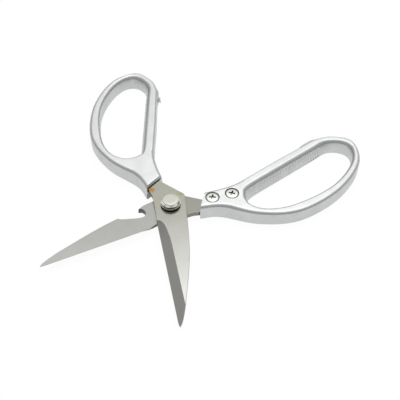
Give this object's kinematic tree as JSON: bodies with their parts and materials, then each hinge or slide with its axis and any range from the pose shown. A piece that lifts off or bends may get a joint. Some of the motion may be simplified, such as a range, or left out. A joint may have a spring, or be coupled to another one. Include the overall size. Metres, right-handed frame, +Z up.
{
  "type": "kitchen scissors",
  "caption": "All-metal kitchen scissors: ground steel blades, one with a bottle-opener notch, screwed into cast loop handles and turning on a pivot with a smooth button head",
  "frame": {"origin": "on the pivot axis, in the plane of the handles' undersides, which is also the rear face of the pivot nut", "axes": "+X along the closing line from the pivot towards the tips, +Y towards the lower half's handle, +Z up through the blades to the button head"},
  "size_m": [0.1659, 0.1746, 0.0123],
  "materials": {
    "blade_steel": "satin ground stainless steel",
    "cast_aluminium": "tumbled satin die casting",
    "screw_steel": "bright plated steel",
    "pivot_steel": "polished plated steel",
    "spring_steel": "blackened spring steel",
    "bumper_plastic": "pale grey moulded plastic"
  },
  "bodies": {
    "lower_half": {"lower_blade": "blade_steel", "lower_handle": "cast_aluminium", "lower_handle_screw_front": "screw_steel", "lower_handle_screw_rear": "screw_steel", "lower_stop_bumper": "bumper_plastic", "pivot_button_screw": "pivot_steel", "pivot_washer": "pivot_steel", "pivot_spring_washer": "spring_steel", "pivot_rear_washer": "pivot_steel", "pivot_barrel_nut": "pivot_steel"},
    "upper_half": {"upper_blade": "blade_steel", "upper_handle": "cast_aluminium", "upper_handle_screw_front": "screw_steel", "upper_handle_screw_rear": "screw_steel", "upper_stop_bumper": "bumper_plastic"}
  },
  "joints": [
    {"name": "blade_pivot", "type": "hinge", "parent": "lower_half", "child": "upper_half", "pos_m": [0, 0, 0.005], "axis": [0, 0, 1], "range_deg": [-63, 35]}
  ]
}
